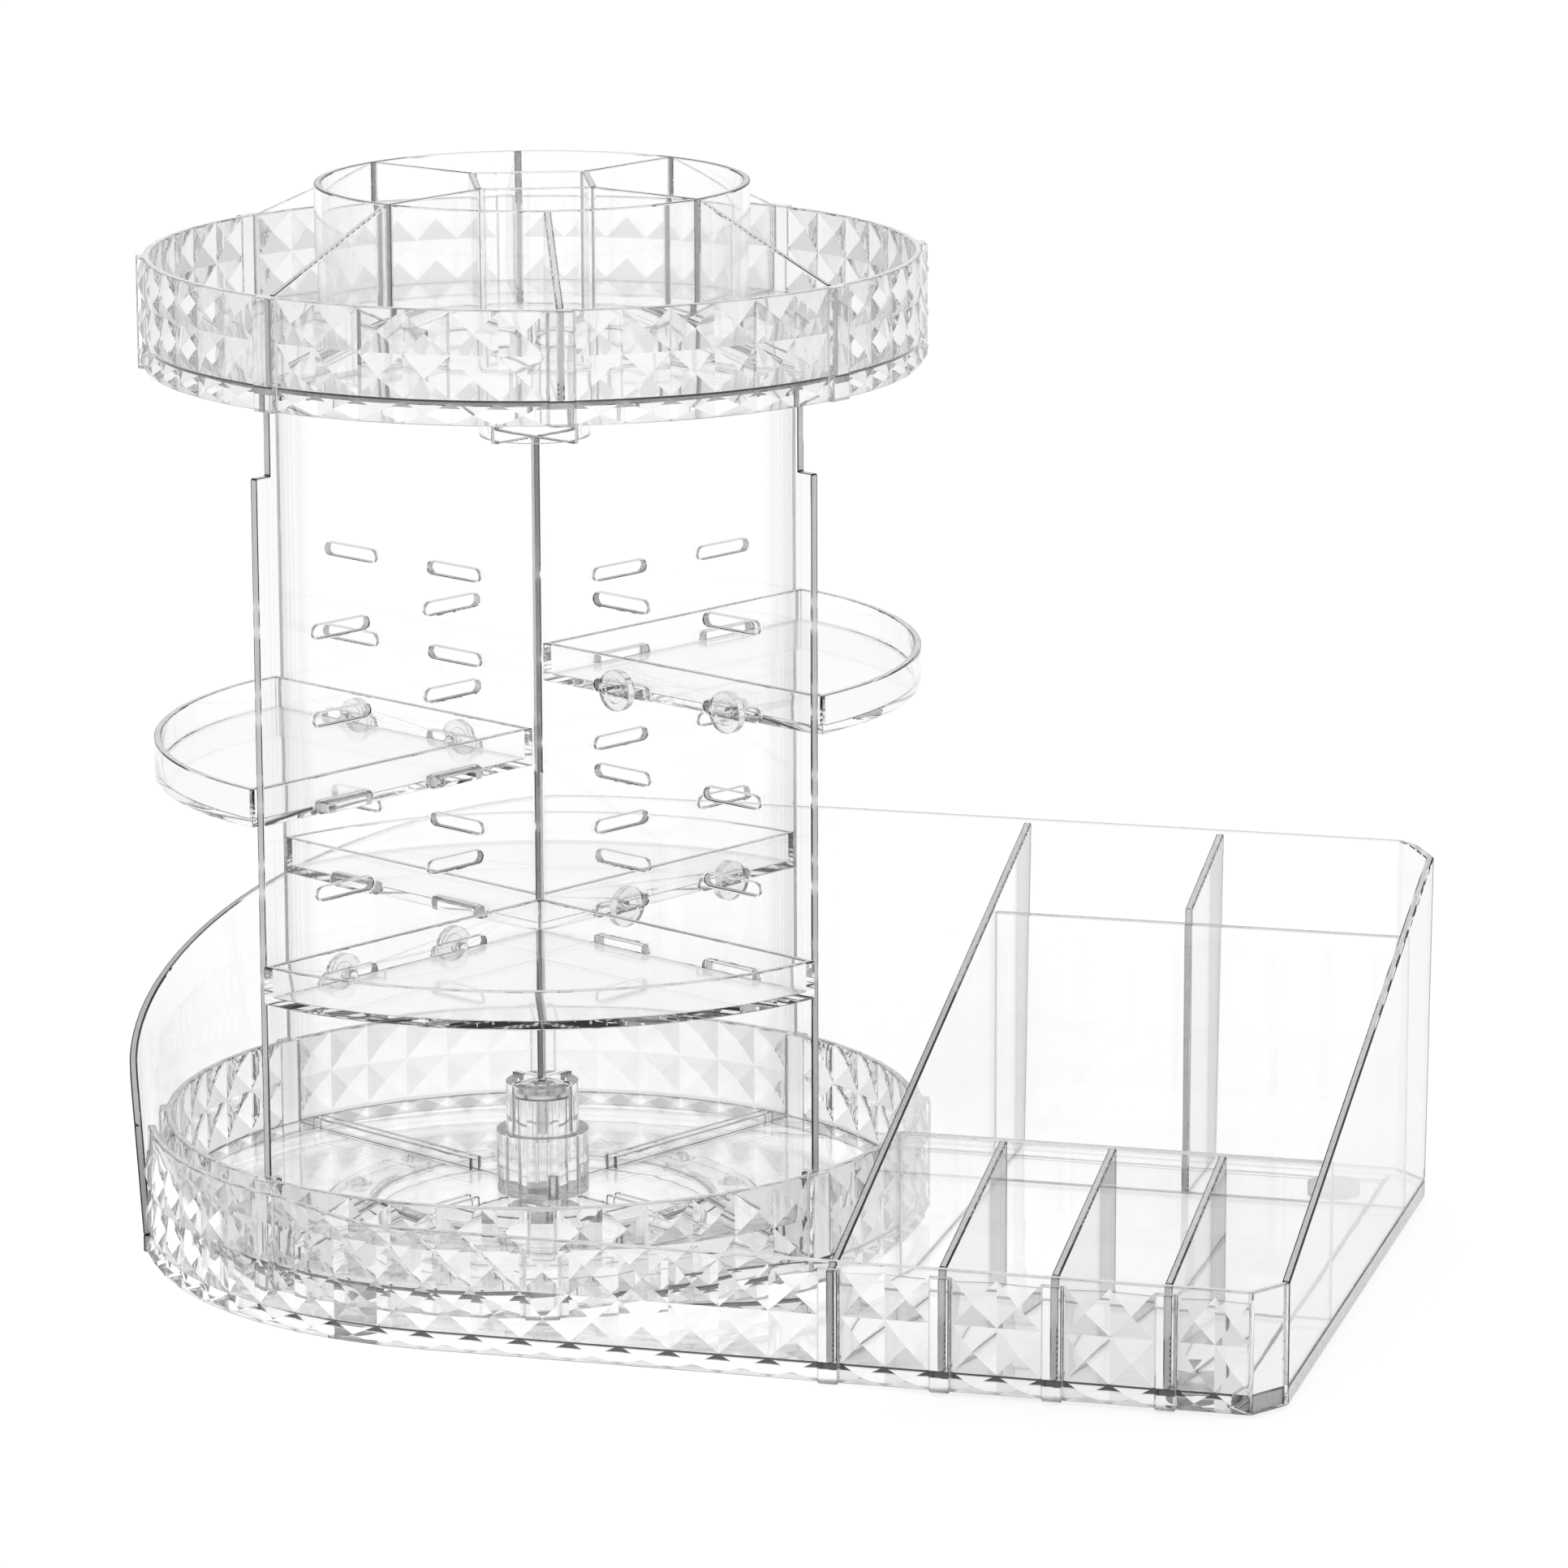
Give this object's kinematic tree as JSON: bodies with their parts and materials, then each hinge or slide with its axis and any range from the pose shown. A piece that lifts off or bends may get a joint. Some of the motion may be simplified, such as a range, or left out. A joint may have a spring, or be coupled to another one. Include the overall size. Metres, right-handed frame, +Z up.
{
  "type": "rotating vanity organizer",
  "caption": "Clear plastic vanity organizer: a turning tower of crossed slotted boards with quarter-round shelves and a divided round top tray, on a base with a compartment box beside it.",
  "frame": {"origin": "middle of the footprint, on the table under the feet", "axes": "+X along the base from the round end to the box end, +Y to the tall back wall, +Z up"},
  "size_m": [0.3772, 0.249, 0.3249],
  "materials": {
    "clear_plastic": "clear, polished",
    "steel": "zinc plated",
    "rubber": "matt, translucent grey"
  },
  "bodies": {
    "base": {"base_floor_plate": "clear_plastic", "base_front_wall": "clear_plastic", "race_ribs": "clear_plastic", "tall_wall": "clear_plastic", "box_left_wall": "clear_plastic", "box_back_cross_wall": "clear_plastic", "box_front_cross_wall": "clear_plastic", "box_back_divider": "clear_plastic", "box_front_divider_1": "clear_plastic", "box_front_divider_2": "clear_plastic", "box_front_divider_3": "clear_plastic", "base_feet": "rubber", "spindle": "clear_plastic", "spindle_washer": "steel", "spindle_screw": "steel", "spindle_foot_screw": "steel"},
    "ball_race": {"bearing_cage": "clear_plastic", "bearing_balls": "clear_plastic"},
    "tower": {"bottom_tray": "clear_plastic", "bottom_tray_rim": "clear_plastic", "bottom_tray_ribs": "clear_plastic", "top_tray_rim": "clear_plastic", "top_tray_ribs": "clear_plastic", "hub": "clear_plastic", "hub_screws": "steel", "cross_panel_a": "clear_plastic", "cross_panel_b": "clear_plastic", "shelf_front": "clear_plastic", "shelf_left": "clear_plastic", "shelf_rear": "clear_plastic", "shelf_right": "clear_plastic", "shelf_screws": "clear_plastic", "top_tray": "clear_plastic", "top_collar": "clear_plastic", "top_ring": "clear_plastic", "top_square_tube": "clear_plastic", "top_ring_walls": "clear_plastic", "top_outer_walls": "clear_plastic"}
  },
  "joints": [
    {"name": "tower_turn", "type": "hinge", "parent": "base", "child": "tower", "pos_m": [-0.06337, -0.003, 0], "axis": [0, 0, 1], "continuous": true},
    {"name": "race_turn", "type": "hinge", "parent": "base", "child": "ball_race", "pos_m": [-0.06337, -0.003, 0], "axis": [0, 0, 1], "continuous": true}
  ],
  "couplings": [
    {"joint": "race_turn", "follows": "tower_turn", "ratio": 0.5}
  ]
}
